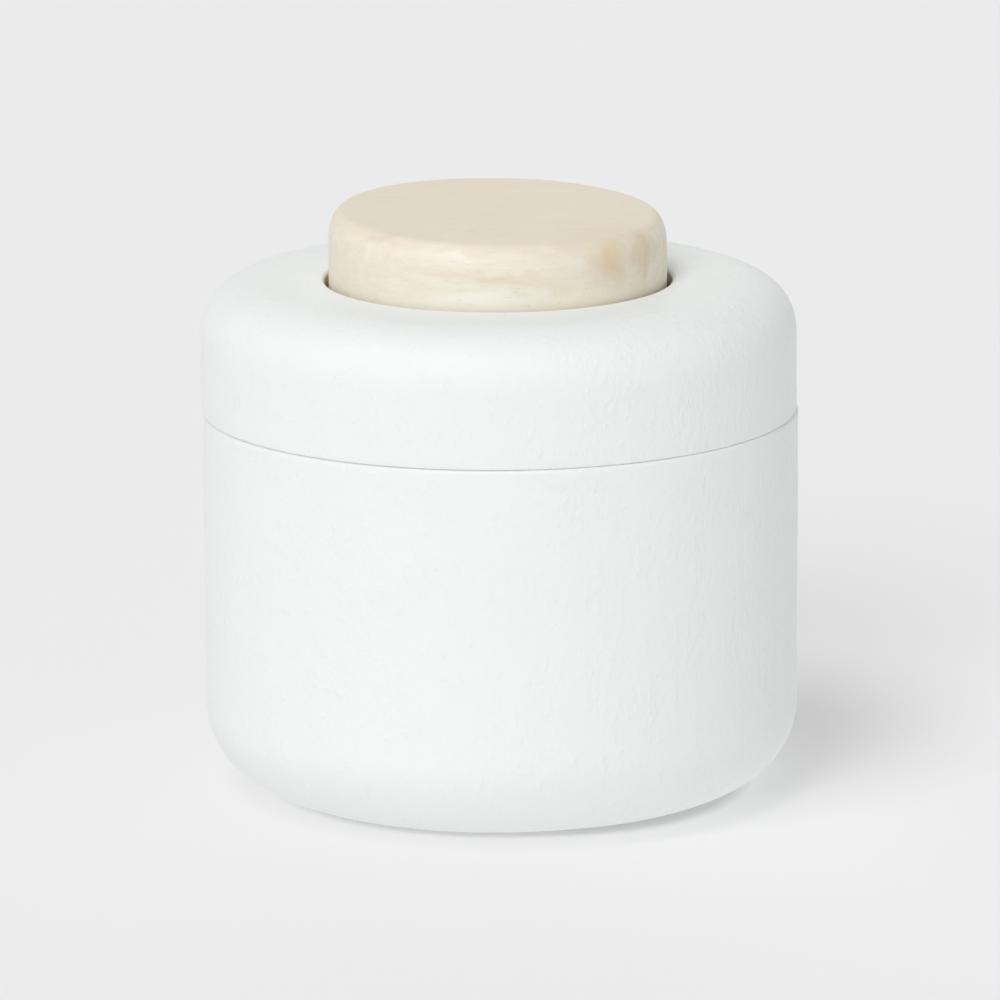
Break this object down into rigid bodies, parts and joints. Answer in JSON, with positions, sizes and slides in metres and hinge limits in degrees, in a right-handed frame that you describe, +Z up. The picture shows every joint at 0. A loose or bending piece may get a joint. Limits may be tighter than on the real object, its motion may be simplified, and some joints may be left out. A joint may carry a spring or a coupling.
{
  "type": "bathroom canister",
  "caption": "Round lidded canister with a curved heel, a flush lift-off lid with a rounded shoulder, and a thick wooden knob set in a well in the lid.",
  "frame": {"origin": "on the canister's axis, at the surface that its foot pads stand on", "axes": "+Z up along the axis, the way the lid lifts; +X to the right and +Y away as the picture shows it, though the turned shape has no front"},
  "size_m": [0.108, 0.108, 0.1059],
  "materials": {
    "white_coat": "matte white coat with a fine orange-peel texture on stoneware",
    "pale_wood": "pale whitewashed wood, sanded, clear matte",
    "white_silicone": "soft milky silicone",
    "grey_silicone": "soft grey silicone",
    "dark_rubber": "matte black rubber",
    "cork": "fine cork sheet",
    "steel": "bright stainless steel"
  },
  "bodies": {
    "jar": {"jar_body": "white_coat", "foot_pad_1": "grey_silicone", "foot_pad_2": "grey_silicone", "foot_pad_3": "grey_silicone", "foot_pad_4": "grey_silicone"},
    "lid": {"lid_shell": "white_coat", "seal_ring": "white_silicone", "wooden_knob": "pale_wood", "knob_cushion": "cork", "soft_washer": "dark_rubber", "steel_washer": "steel", "knob_screw": "steel"}
  },
  "joints": [
    {"name": "lid_lift", "type": "slide", "parent": "jar", "child": "lid", "axis": [0, 0, 1], "range_m": [0, 0.08]}
  ]
}
